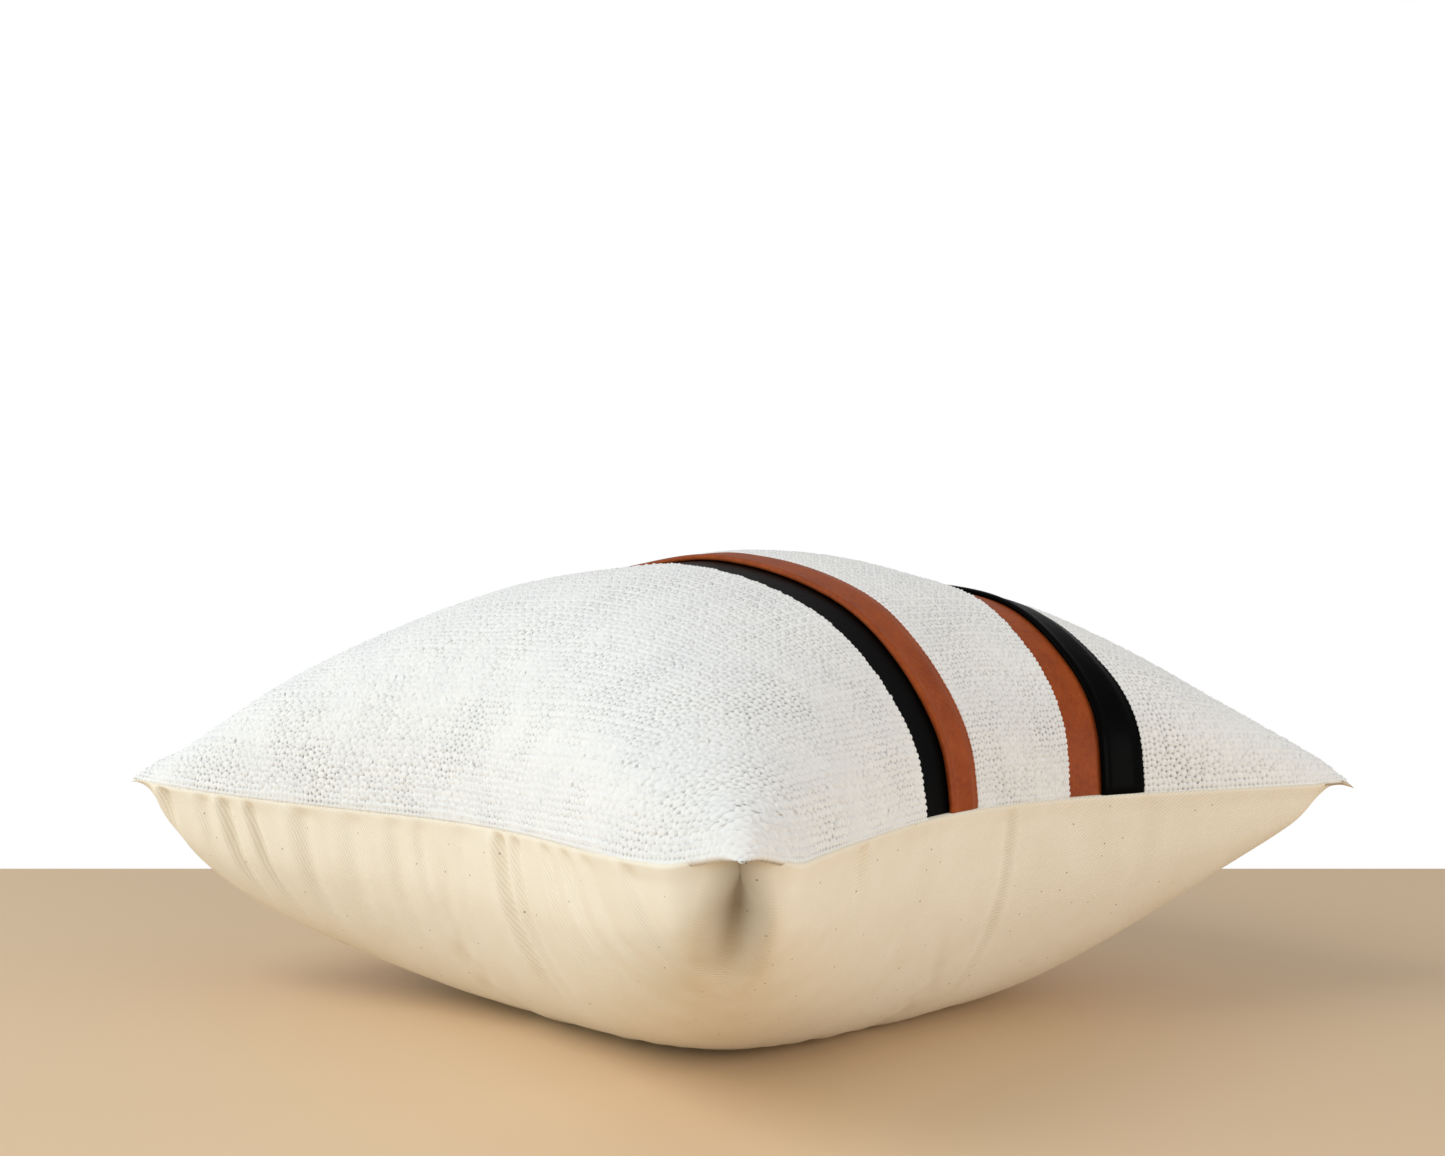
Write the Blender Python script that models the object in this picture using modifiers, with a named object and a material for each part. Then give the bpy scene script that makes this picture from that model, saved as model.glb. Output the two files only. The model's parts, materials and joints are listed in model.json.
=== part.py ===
"""Square stuffed throw pillow, lying flat: woven front with inserted leather strips and folded leather flanges, canvas
back, zipped cover and a fibre-filled insert.  Metres, +Z up, stripes along Y, floor at Z = 0.

Every fabric piece is a patch of one pillow surface.  A patch starts as a grid, each grid vertex is put on the surface,
and a Solidify modifier gives it its cloth thickness, always outwards from the surface.
"""

import math

import bmesh
import bpy
from mathutils import Matrix, Vector

# Whole pillow
COVER_SIDE = 0.457          # sewn size of the empty cover
CORNER_REACH = 0.2075       # centre to corner tip along X or Y, once stuffed
SIDE_PULL_IN = 0.045        # how far the middle of a side is drawn in
SIDE_PULL_POWER = 1.8
SEAM_HEIGHT = 0.100         # floor to the perimeter seam
CROWN_HEIGHT = 0.110        # perimeter seam to the top of the front
BELLY_DEPTH = 0.124         # perimeter seam to where the back would reach without the floor
FULLNESS = 0.455            # exponent of the crown: lower is fuller at the edge
ARC_TURN = math.radians(61)  # how much of the cloth's width turns down towards the seam
SEAM_GAP = 0.0003           # clearance between neighbouring pieces
SEAM_LIFT = 0.0003          # half the clearance between front and back

# Front layout, as widths of flat cloth from the left edge
LEFT_PANEL_WIDTH = 0.163
STRIP_SHOWING = 0.0215      # flat leather left showing beside each flange
FLANGE_WIDTH = 0.0235       # folded leather flange
CENTRE_PANEL_WIDTH = 0.078

# Thicknesses
WEAVE = 0.0020
LEATHER = 0.0010
CANVAS = 0.0008
INSERT_CLOTH = 0.0006

# Insert, measured inwards from the cover
INSERT_INSET = 0.008
INSERT_DROP = 0.0035
INSERT_FLOOR = 0.0021
FILLING_INSET = 0.012
FILLING_DROP = 0.0058
FILLING_FLOOR = 0.0030

# Zip in the right-hand seam
ZIP_PULL_IN = 0.022         # the zip holds this side straighter than the others
ZIP_STRAIGHT = 0.67         # share of the side over which the seam is straight
ZIP_MOUTH = 0.0042          # seam to each cloth edge beside the zip
TAPE_HALF_LENGTH = 0.139
TAPE_WIDTH = 0.009
TAPE_THICKNESS = 0.0006
TAPE_RECESS = 0.0026        # cloth edge to the middle of the tape
COIL_HALF_LENGTH = 0.132
COIL_RADIUS = 0.00075
COIL_SPACING = 0.00155      # seam to each coil's centre
RUNNING_GAP = 0.0004
SLIDER_HALF_LENGTH = 0.0045
SLIDER_HALF_WIDTH = 0.0034
PLATE = 0.0012
LIP = 0.0008
POST_HALF = 0.0005
STOP_SIZE = 0.0020
ARCH_INNER = 0.0019
ARCH_OUTER = 0.0027
ARCH_HALF_WIDTH = 0.0008
ARCH_SINK = 0.0003
HINGE_RISE = 0.00075        # slider plate to the pull's hinge axis
PULL_THICKNESS = 0.0009
PULL_LENGTH = 0.022
PULL_HALF_WIDTH = 0.0023
PULL_WINDOW_HALF = 0.0012
PULL_WINDOW_END = 0.0034
PULL_HOLE_RADIUS = 0.0011

SEAM_X = CORNER_REACH - ZIP_PULL_IN     # inner face of the cloth at the zip
TAPE_X = SEAM_X - TAPE_RECESS
COIL_X = TAPE_X + TAPE_THICKNESS / 2 + SEAM_GAP + COIL_RADIUS
PLATE_X = COIL_X + COIL_RADIUS + RUNNING_GAP
SLIDER_REST_Y = -COIL_HALF_LENGTH + SLIDER_HALF_LENGTH
HINGE_X = PLATE_X + PLATE + HINGE_RISE

# Cloth boundaries as shares of the half width, -1 at the left edge and +1 at the right
HALF_SIDE = COVER_SIDE / 2
EDGES = [LEFT_PANEL_WIDTH, STRIP_SHOWING, FLANGE_WIDTH, CENTRE_PANEL_WIDTH, STRIP_SHOWING, FLANGE_WIDTH]
SHARE = [sum(EDGES[:k + 1]) / HALF_SIDE - 1 for k in range(len(EDGES))]
HALF_GAP = SEAM_GAP / 2 / HALF_SIDE

ROWS = 24                   # grid rows along the stripes


def smooth_step(t):
    """0 below 0, 1 above 1, and a smooth climb between."""
    t = min(max(t, 0.0), 1.0)
    return t * t * (3 - 2 * t)


def turned(share, other):
    """Where cloth at this share of the width lands across the pillow, 0 at the centre and 1 at the seam."""
    turn = ARC_TURN * math.sqrt(max(math.cos(math.pi * other / 2), 0.0)) + 1e-4
    return math.sin(turn * share) / math.sin(turn)


def side_pull(other, zipped):
    """How far a side is drawn in at this share of its length."""
    if zipped:
        return ZIP_PULL_IN * smooth_step((1 - abs(other)) / (1 - ZIP_STRAIGHT))
    return SIDE_PULL_IN * max(math.cos(math.pi * other / 2), 0.0) ** SIDE_PULL_POWER


def zip_mouth(u, v):
    """How far the cloth edge stands back from the seam beside the zip."""
    along = smooth_step((1 - abs(v)) / (1 - ZIP_STRAIGHT) - 0.04)
    return (ZIP_MOUTH - SEAM_LIFT) * along * smooth_step((u - 0.8) / 0.2)


def surface(u, v, side, inset=0.0, drop=0.0, floor=0.0):
    """The point of the pillow surface at cloth shares u and v; side is +1 for the front and -1 for the back."""
    across, along = turned(u, v), turned(v, u)
    x = across * (CORNER_REACH - inset - side_pull(v, u > 0))
    y = along * (CORNER_REACH - inset - side_pull(u, False))
    bulge = max((1 - across ** 2) * (1 - along ** 2), 0.0) ** FULLNESS
    depth = CROWN_HEIGHT if side > 0 else BELLY_DEPTH
    mouth = zip_mouth(u, v) if inset == 0 else 0.0
    z = SEAM_HEIGHT + side * (SEAM_LIFT + mouth + (depth - drop) * bulge)
    return Vector((x, y, max(z, floor)))


def lifted(u, v, side, lift):
    """The surface point moved outwards along the surface's own normal."""
    step = 0.008
    near_u = min(max(u, step - 1), 1 - step)
    near_v = min(max(v, step - 1), 1 - step)
    along_u = surface(near_u + step, v, side) - surface(near_u - step, v, side)
    along_v = surface(u, near_v + step, side) - surface(u, near_v - step, side)
    normal = along_u.cross(along_v).normalized()
    return surface(u, v, side) + normal * lift * side


def material(name, colour, roughness, metallic=0.0):
    """A plain Principled material."""
    made = bpy.data.materials.new(name)
    made.use_nodes = True
    shader = made.node_tree.nodes["Principled BSDF"]
    shader.inputs["Base Color"].default_value = (*colour, 1)
    shader.inputs["Roughness"].default_value = roughness
    shader.inputs["Metallic"].default_value = metallic
    return made


def add_object(name, mesh, mat, collection=None):
    """Links a mesh object with its material into the pillow's collection."""
    made = bpy.data.objects.new(name, mesh)
    mesh.materials.append(mat)
    (collection or PILLOW).objects.link(made)
    return made


def spread(low, high, share, rims):
    """A grid position between low and high, closer together towards the rims named in rims, or one of a list."""
    if isinstance(rims, list):
        return rims[round(share * (len(rims) - 1))]
    if rims == "both":
        share = 0.5 - 0.5 * math.cos(math.pi * share)
    elif rims == "low":
        share = 1 - math.cos(math.pi * share / 2)
    elif rims == "high":
        share = math.sin(math.pi * share / 2)
    return low + (high - low) * share


def grid_mesh(name, columns, rows, place):
    """A grid whose vertices are put where place says, from shares 0 to 1 across and along."""
    bm = bmesh.new()
    bmesh.ops.create_grid(bm, x_segments=columns, y_segments=rows, size=0.5)
    for vertex in bm.verts:
        vertex.co = place(vertex.co.x + 0.5, vertex.co.y + 0.5)
    mesh = bpy.data.meshes.new(name)
    bm.to_mesh(mesh)
    bm.free()
    mesh.shade_smooth()
    return mesh


def cloth_piece(name, mat, low, high, columns, thickness, side=1, rims=None, lift=0.0, rows=ROWS, **fit):
    """One fabric or leather piece from cloth share low to high, running the full length of the pillow."""
    def place(across, along):
        u = spread(low, high, across, rims)
        v = spread(-1, 1, along, "both")
        return lifted(u, v, side, lift) if lift else surface(u, v, side, **fit)

    made = add_object(name, grid_mesh(name, columns, rows, place), mat)
    thicken = made.modifiers.new("cloth_thickness", "SOLIDIFY")
    thicken.thickness = thickness
    thicken.offset = side
    return made


def filling(name, mat, cells):
    """The fibre fill: a top and a bottom grid joined round their rim."""
    fit = {"inset": FILLING_INSET, "drop": FILLING_DROP, "floor": FILLING_FLOOR}
    bm = bmesh.new()
    for side in (1, -1):
        new = bmesh.ops.create_grid(bm, x_segments=cells, y_segments=cells, size=0.5)["verts"]
        if side < 0:
            bmesh.ops.reverse_faces(bm, faces=list({face for vertex in new for face in vertex.link_faces}))
        for vertex in new:
            u = spread(-1, 1, vertex.co.x + 0.5, "both")
            v = spread(-1, 1, vertex.co.y + 0.5, "both")
            point = surface(u, v, side, **fit)
            if max(abs(u), abs(v)) > 0.9999:
                point.z = SEAM_HEIGHT
            vertex.co = point
    bmesh.ops.remove_doubles(bm, verts=bm.verts, dist=0.00002)
    mesh = bpy.data.meshes.new(name)
    bm.to_mesh(mesh)
    bm.free()
    mesh.shade_smooth()
    return add_object(name, mesh, mat)


def outline_solid(name, loops, thickness, bevel=0.0):
    """A flat closed outline, with any inner loops as holes, given a thickness across its own plane."""
    curve = bpy.data.curves.new(name, "CURVE")
    curve.dimensions = "2D"
    curve.fill_mode = "BOTH"
    curve.extrude = thickness / 2 - bevel
    curve.bevel_depth = bevel
    curve.offset = -bevel
    for points in loops:
        spline = curve.splines.new("POLY")
        spline.points.add(len(points) - 1)
        for target, (a, b) in zip(spline.points, points):
            target.co = (a, b, 0, 1)
        spline.use_cyclic_u = True
    holder = bpy.data.objects.new(name, curve)
    mesh = bpy.data.meshes.new_from_object(holder)
    bpy.data.objects.remove(holder)
    bm = bmesh.new()
    bm.from_mesh(mesh)
    bmesh.ops.remove_doubles(bm, verts=bm.verts, dist=0.00001)
    bmesh.ops.recalc_face_normals(bm, faces=bm.faces)
    bm.to_mesh(mesh)
    bm.free()
    return mesh


def block(name, mat, size, centre, bevel=0.0):
    """A box with softened edges."""
    bm = bmesh.new()
    bmesh.ops.create_cube(bm, size=1.0)
    bmesh.ops.scale(bm, vec=size, verts=bm.verts)
    mesh = bpy.data.meshes.new(name)
    bm.to_mesh(mesh)
    bm.free()
    made = add_object(name, mesh, mat)
    made.location = centre
    if bevel:
        soften = made.modifiers.new("soft_edges", "BEVEL")
        soften.width = bevel
        soften.segments = 2
    return made


def rod_y(name, mat, radius, length, centre):
    """A round rod along Y."""
    bm = bmesh.new()
    bmesh.ops.create_cone(bm, cap_ends=True, segments=16, radius1=radius, radius2=radius, depth=length)
    mesh = bpy.data.meshes.new(name)
    bm.to_mesh(mesh)
    bm.free()
    mesh.shade_smooth()
    made = add_object(name, mesh, mat)
    made.rotation_euler = (math.pi / 2, 0, 0)
    made.location = centre
    return made


def arc(radius, start, stop, count, centre=(0.0, 0.0)):
    """Points of a circular arc, angles in degrees."""
    points = []
    for k in range(count + 1):
        angle = math.radians(start + (stop - start) * k / count)
        points.append((centre[0] + radius * math.cos(angle), centre[1] + radius * math.sin(angle)))
    return points


def zip_slider(mat):
    """Slider: two plates joined by a post between the coils, edge lips, and an arch that holds the pull."""
    back_outer = TAPE_X - TAPE_THICKNESS / 2 - RUNNING_GAP - PLATE_X
    lip_tip = TAPE_X + TAPE_THICKNESS / 2 + RUNNING_GAP - PLATE_X
    wide, lip = SLIDER_HALF_WIDTH, SLIDER_HALF_WIDTH - LIP
    half = [(PLATE, wide), (lip_tip, wide), (lip_tip, lip), (0.0, lip), (0.0, POST_HALF), (back_outer, POST_HALF),
            (back_outer, wide), (back_outer - PLATE, wide)]
    profile = half + [(x, -z) for x, z in reversed(half)]
    body = outline_solid("zip_slider", [profile], 2 * SLIDER_HALF_LENGTH)
    body.transform(X_AND_Z)
    made = add_object("zip_slider", body, mat)
    made.location = (PLATE_X, SLIDER_REST_Y, SEAM_HEIGHT)
    half_ring = arc(ARCH_OUTER, -90, 90, 16) + arc(ARCH_INNER, 90, -90, 16)
    arch = add_object("arch_tool", outline_solid("arch_tool", [half_ring], 2 * ARCH_HALF_WIDTH), mat, TOOLS)
    arch.location = (PLATE_X + PLATE - ARCH_SINK, SLIDER_REST_Y, SEAM_HEIGHT)
    arch.hide_render = True
    arch.display_type = "WIRE"
    join = made.modifiers.new("arch", "BOOLEAN")
    join.operation = "UNION"
    join.solver = "EXACT"
    join.object = arch
    return made


def zip_pull(mat):
    """Pull: a slim plate whose end bar passes under the slider's arch; its origin is the hinge."""
    bar, wide = PULL_THICKNESS / 2, PULL_HALF_WIDTH
    far = arc(wide, -20, 200, 14, (0.0, PULL_LENGTH - wide))
    outer = [(-wide * 0.86, -bar), (wide * 0.86, -bar)] + far
    window = [(-PULL_WINDOW_HALF, bar), (-PULL_WINDOW_HALF, PULL_WINDOW_END),
              (PULL_WINDOW_HALF, PULL_WINDOW_END), (PULL_WINDOW_HALF, bar)]
    hole = arc(PULL_HOLE_RADIUS, 0, 345, 23, (0.0, PULL_LENGTH - 2 * PULL_HOLE_RADIUS - 0.0006))
    plate = outline_solid("zip_pull", [outer, window, hole], PULL_THICKNESS, 0.00015)
    plate.transform(Z_AND_Y)
    made = add_object("zip_pull", plate, mat)
    made.location = (HINGE_X, SLIDER_REST_Y, SEAM_HEIGHT)
    return made


def clear_scene():
    """Removes what the default scene holds."""
    for old in list(bpy.data.objects):
        bpy.data.objects.remove(old)


def collection(name, visible=True):
    """A new collection in the scene."""
    made = bpy.data.collections.new(name)
    bpy.context.scene.collection.children.link(made)
    made.hide_render = not visible
    return made


clear_scene()
PILLOW = collection("throw_pillow")
TOOLS = collection("tools", visible=False)

# Turns an outline drawn in X and Y: the first stands its Y up as Z, the second lays its X along Z
X_AND_Z = Matrix(((1, 0, 0, 0), (0, 0, -1, 0), (0, 1, 0, 0), (0, 0, 0, 1)))
Z_AND_Y = Matrix(((0, 0, 1, 0), (0, 1, 0, 0), (-1, 0, 0, 0), (0, 0, 0, 1)))

woven = material("woven_ivory", (0.80, 0.78, 0.74), 0.95)
black = material("black_leather", (0.018, 0.017, 0.017), 0.42)
tan = material("tan_leather", (0.36, 0.13, 0.055), 0.5)
canvas = material("cream_canvas", (0.74, 0.66, 0.52), 0.95)
ticking = material("insert_ticking", (0.85, 0.84, 0.81), 0.9)
fibre = material("polyester_fibre", (0.9, 0.9, 0.9), 1.0)
tape = material("zip_tape", (0.72, 0.64, 0.50), 0.9)
nylon = material("zip_nylon", (0.74, 0.67, 0.54), 0.45)
metal = material("zip_metal", (0.55, 0.54, 0.52), 0.35, 1.0)

# Front, from the left edge to the zipped right edge; a flange lies over the hidden half of its strip
cloth_piece("woven_panel_left", woven, -1, SHARE[0] - HALF_GAP, 9, WEAVE, rims="low")
cloth_piece("woven_panel_centre", woven, SHARE[2] + HALF_GAP, SHARE[3] - HALF_GAP, 5, WEAVE)
cloth_piece("woven_panel_right", woven, SHARE[5] + HALF_GAP, 1, 8, WEAVE, rims="high")
for strip, strip_mat, flange, flange_mat, k in (
        ("black_strip", black, "tan_flange", tan, 0), ("tan_strip", tan, "black_flange", black, 3)):
    start, fold, seam = SHARE[k] + HALF_GAP, SHARE[k + 1], SHARE[k + 2] - HALF_GAP
    lines = [start, fold, (fold + seam) / 2, seam]
    cloth_piece(strip, strip_mat, start, seam, 3, LEATHER, rims=lines)
    cloth_piece(flange, flange_mat, fold, seam, 2, 2 * LEATHER, rims=lines[1:], lift=LEATHER + SEAM_GAP)
cloth_piece("canvas_back", canvas, -1, 1, 22, CANVAS, side=-1, rims="both", floor=CANVAS)

# Insert
insert_fit = {"inset": INSERT_INSET, "drop": INSERT_DROP, "floor": INSERT_FLOOR}
for name, side in (("insert_top", 1), ("insert_bottom", -1)):
    cloth_piece(name, ticking, -1, 1, 16, INSERT_CLOTH, side=side, rims="both", rows=16, **insert_fit)
filling("insert_filling", fibre, 16)

# Zip: one tape and one coil to each side of the seam, stops at both ends, and the slider with its pull
for name, up in (("front", 1), ("back", -1)):
    tape_z = SEAM_HEIGHT + up * (COIL_SPACING - COIL_RADIUS + TAPE_WIDTH / 2)
    block("zip_tape_" + name, tape, (TAPE_THICKNESS, 2 * TAPE_HALF_LENGTH, TAPE_WIDTH), (TAPE_X, 0, tape_z))
    coil_z = SEAM_HEIGHT + up * COIL_SPACING
    rod_y("zip_coil_" + name, nylon, COIL_RADIUS, 2 * COIL_HALF_LENGTH, (COIL_X, 0, coil_z))
    stop_y = -COIL_HALF_LENGTH - SEAM_GAP - STOP_SIZE / 2
    block("zip_top_stop_" + name, metal, (2 * COIL_RADIUS, STOP_SIZE, STOP_SIZE), (COIL_X, stop_y, coil_z), 0.0002)
bottom_size = (2 * COIL_RADIUS, STOP_SIZE, 2 * (COIL_SPACING + COIL_RADIUS))
bottom_y = COIL_HALF_LENGTH + SEAM_GAP + STOP_SIZE / 2
block("zip_bottom_stop", metal, bottom_size, (COIL_X, bottom_y, SEAM_HEIGHT), 0.0002)
zip_slider(metal)
zip_pull(metal)
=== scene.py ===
"""Looks of a stuffed throw pillow: a chunky woven front with leather strips and folded leather flanges, a cotton
canvas back, a zipped edge and a stuffed insert.  Metres, stripes along Y, floor at Z = 0.

The cover is cut flat, blown up as simulated cloth and laid on the floor.  Every fabric and leather piece is then laid
on that settled surface by its place on the flat cover.  While the cover is shaped, u and v are shares of the flat
cover, from -1 to +1 across and along it; after that, s and t are flat distances in metres from its low corner.
"""
import json
import math

import bpy
import numpy as np
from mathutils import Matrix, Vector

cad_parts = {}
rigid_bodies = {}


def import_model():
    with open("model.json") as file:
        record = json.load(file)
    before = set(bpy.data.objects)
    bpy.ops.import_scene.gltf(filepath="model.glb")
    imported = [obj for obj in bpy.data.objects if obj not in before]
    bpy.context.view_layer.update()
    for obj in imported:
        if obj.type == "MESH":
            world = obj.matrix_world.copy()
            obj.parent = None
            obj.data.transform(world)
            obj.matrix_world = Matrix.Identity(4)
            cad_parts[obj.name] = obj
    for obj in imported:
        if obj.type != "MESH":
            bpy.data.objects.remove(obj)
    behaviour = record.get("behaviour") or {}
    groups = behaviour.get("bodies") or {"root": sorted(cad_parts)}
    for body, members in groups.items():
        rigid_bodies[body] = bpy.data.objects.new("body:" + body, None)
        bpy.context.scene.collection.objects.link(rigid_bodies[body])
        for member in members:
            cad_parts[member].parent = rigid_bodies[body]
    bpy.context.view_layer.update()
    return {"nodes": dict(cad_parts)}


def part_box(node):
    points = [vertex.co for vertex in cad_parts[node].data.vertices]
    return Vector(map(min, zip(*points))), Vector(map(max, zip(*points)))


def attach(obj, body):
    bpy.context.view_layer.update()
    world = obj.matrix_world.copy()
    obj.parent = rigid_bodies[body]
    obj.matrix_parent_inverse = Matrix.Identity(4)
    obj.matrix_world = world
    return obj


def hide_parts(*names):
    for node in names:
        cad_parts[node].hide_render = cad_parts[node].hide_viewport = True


for leftover in list(bpy.data.objects):
    bpy.data.objects.remove(leftover)
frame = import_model()

# Stuffed outline, the same sizes as the solid model
COVER_SIDE = 0.457
CORNER_REACH = 0.2075
SIDE_PULL_IN = 0.045
SIDE_PULL_POWER = 1.8
SEAM_HEIGHT = 0.100
CROWN_HEIGHT = 0.110
BELLY_DEPTH = 0.124
FULLNESS = 0.455
ARC_TURN = math.radians(61)
ZIP_PULL_IN = 0.022
ZIP_STRAIGHT = 0.67
ZIP_MOUTH = 0.0042

# Front layout in flat cloth, from the left edge
LEFT_PANEL_WIDTH = 0.163
STRIP_SHOWING = 0.0215
FLANGE_WIDTH = 0.0235
CENTRE_PANEL_WIDTH = 0.078
STRIP_START = (LEFT_PANEL_WIDTH, LEFT_PANEL_WIDTH + STRIP_SHOWING + FLANGE_WIDTH + CENTRE_PANEL_WIDTH)
PAIR_WIDTH = STRIP_SHOWING + FLANGE_WIDTH

LEATHER = 0.0010
UNDERLAP = 0.0030           # leather hidden below the woven edge beside it
YARN_PITCH = 0.00262        # centre to centre of the chunky yarns
YARN_RELIEF = 0.0014        # depth of the weave
WEAVE_BODY = 0.0012         # cloth below the relief
LEATHER_SINK = 0.0007       # the leather lies a little below the padded cloth beside it
CANVAS = 0.0008
CANVAS_LIP = 0.0022         # the canvas edge rolls this far over the seam
LIP_STANDS = 0.0012         # and stands this much proud of the cloth below it
EDGE_ROUND = 0.0032         # how far in a woven edge is rounded at the seam
LAP_ROUND = 0.0024          # and where it is turned down onto leather
NUB_WANDER = 0.0009         # how unevenly that edge runs, from nub to nub
TURN_IN = 0.003             # cloth turned under at an edge
FLANGE_CAUGHT = 0.002       # of a flange's width, caught in its seam
FOLD_RADIUS = 0.0011        # outside of a flange's fold
FLANGE_STANDS = 0.0010      # a flange stands this much prouder away from its seam
FOLD_ROLL = 0.0006          # low ridge just inside the fold
END_PRESS = 0.007           # leather is pressed flat towards the seam over this length
INSERT_CASE_SCALE = 0.955   # stuffed case and fibre against the cover around them
FIBRE_SCALE = 0.938

# Mesh spacing
YARN_SAMPLES = 3            # lines of mesh to a yarn
LEATHER_STEP = 0.0015
CANVAS_STEP = 0.0016
INSERT_STEP = 0.006

# Cloth within this flat distance of a seam is stretched, which makes it this much longer
STRETCH_REACH = 0.007
STRETCH_LENGTH = 0.030
INNER_STRETCH = 0.9         # surface length to flat length, away from the seams

# Puckers: place along the side, depth, half width, reach from the seam, slant
LEFT_PUCKERS = ((0.428, 0.0036, 0.0045, 0.030, -0.10), (0.398, 0.0014, 0.0045, 0.030, -0.20),
                (0.383, 0.0030, 0.0034, 0.048, -0.25), (0.366, 0.0026, 0.0028, 0.050, -0.30),
                (0.332, 0.0016, 0.0055, 0.055, -0.10), (0.300, 0.0007, 0.0060, 0.050, 0.00),
                (0.273, 0.0009, 0.0050, 0.060, -0.10), (0.254, 0.0009, 0.0040, 0.045, -0.10),
                (0.222, 0.0006, 0.0050, 0.050, 0.00), (0.188, 0.0036, 0.0042, 0.075, -0.15),
                (0.172, 0.0024, 0.0040, 0.060, -0.15), (0.140, 0.0018, 0.0045, 0.085, -0.35),
                (0.118, 0.0016, 0.0045, 0.085, -0.45), (0.096, 0.0012, 0.0050, 0.080, -0.50),
                (0.060, 0.0014, 0.0045, 0.060, -0.30))
FRONT_EDGE_PUCKERS = ((0.232, 0.0016, 0.0030, 0.085, 0.0), (0.101, 0.0022, 0.0035, 0.025, 0.1),
                      (0.160, 0.0007, 0.0050, 0.050, 0.0), (0.320, 0.0006, 0.0060, 0.060, 0.0))
REAR_PUCKERS = ((0.075, 0.0016, 0.0045, 0.060, 0.3), (0.150, 0.0012, 0.0050, 0.050, 0.1),
                (0.290, 0.0018, 0.0045, 0.070, -0.2), (0.400, 0.0014, 0.0040, 0.045, -0.3))
TOP_PUCKERS = ((0.226, 0.0012, 0.0070, 0.050, 0.0), (0.060, 0.0008, 0.0080, 0.060, 0.3))
CORNER_HOLLOWS = (0.0095, 0.0020, 0.0045, 0.0060)   # canvas below the front, left, right and rear corner
TOP_EAR_HOLLOW = 0.0020     # woven front near its left corner
HOLLOW_REACH = 0.060

# How this pillow sits away from the even shape
LEFT_SIDE_SAG = 0.006       # the side along the wide panel hangs low towards its rear corner
CROWN_SQUARING = (0.0055, 0.0035, -0.0075)   # rise of the front where u, v and both at once are large
BELLY_TILT = 0.003          # the back is shallower towards the rear
RIGHT_EAR_PINCH = 0.26      # how much thinner the cover is near its right corner
LEFT_EAR_FULLNESS = 0.26    # how much thicker its back is near the left corner,
LEFT_EAR_PINCH = 0.55       # except at the tip itself
LEFT_EAR_THINNING = 0.32    # how much thinner its front is there
LEFT_EAR_RISE = 0.0085      # except at the tip, where it is bunched up
STRIPE_HOLLOW = 0.0045      # the front dips this much under each leather pair behind the crown
TIP_LIFT = 0.007            # the front corner's tip is bent up and aside
TIP_ASIDE = 0.007
STRIPE_DRIFT = 0.0055       # the second leather pair bows outwards along its length
STRIPE_GATHER = 0.016       # and is gathered back near the seam

CLOTH_CELLS = 80            # grid cells of the simulated cover along each side
SETTLE_FRAMES = 45
START_CLEARANCE = 0.004     # the cloth starts at least this far above the floor

HALF_SIDE = COVER_SIDE / 2

# Colours, pale then deep where there are two
YARN = ((0.86, 0.85, 0.82), (0.82, 0.815, 0.80))
# painted shade for the pits between the yarns
YARN_PIT_SHADE = (0.15, 0.13, 0.105)
TWILL = ((0.89, 0.835, 0.715), (0.85, 0.785, 0.645))
TWILL_RIB = (0.70, 0.59, 0.43)
# painted shade in the fold below the front corner
TWILL_FOLD_SHADE = (0.19, 0.145, 0.095)
SEED_FLECK = (0.09, 0.055, 0.03)
BLACK_HIDE = ((0.0022, 0.0022, 0.0022), (0.001, 0.001, 0.001))
TAN_HIDE = ((0.38, 0.082, 0.017), (0.19, 0.033, 0.007))
TABLE_WOOD = ((0.76, 0.57, 0.37), (0.70, 0.50, 0.30))

# Camera, table and light: angles in radians, distances in metres from the middle of the pillow
VIEW_YAW = 0.0317
VIEW_DISTANCE = 0.8447
VIEW_SIDE_STEP = -0.0057
VIEW_HEIGHT = 0.1923
VIEW_PITCH = -0.0065
VIEW_FOCAL = 1.2078         # focal length as a share of the sensor's width
SENSOR_WIDTH = 36
TABLE_SIZE = (4.0, 2.4)
TABLE_EDGE = 0.36           # its far edge behind the middle of the pillow
ROOM_LIGHT = 0.48
LAMPS = (("window_light", (-1.4, 0.5, 1.4), 1.2, 18, (0.99, 0.99, 0.99)),
         ("front_fill", (0.5, -1.9, 0.45), 1.2, 16.5, (1.0, 0.99, 0.97)),
         ("left_fill", (-1.8, 0.4, 0.35), 1.0, 11, (0.74, 0.92, 1.0)))
LAMP_AIM = (0, 0, 0.08)


# ---------------------------------------------------------------- settled cover

def smooth_step(share):
    """0 below 0, 1 above 1, level at both ends."""
    share = np.clip(share, 0, 1)
    return share * share * (3 - 2 * share)


def turned(share, other):
    """Where cloth at this share of the width lands across the stuffed pillow, 0 at the centre and 1 at the seam: the
    sine of an angle that grows evenly with the share, as on an arc."""
    turn = ARC_TURN * np.sqrt(np.clip(np.cos(np.pi * other / 2), 0, 1)) + 1e-4
    return np.sin(turn * share) / np.sin(turn)


def side_pull(other, zipped):
    """How far a side is drawn in along its length; the zip holds its own side straighter."""
    plain = SIDE_PULL_IN * np.clip(np.cos(np.pi * other / 2), 0, 1) ** SIDE_PULL_POWER
    return np.where(zipped, ZIP_PULL_IN * smooth_step((1 - np.abs(other)) / (1 - ZIP_STRAIGHT)), plain)


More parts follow.
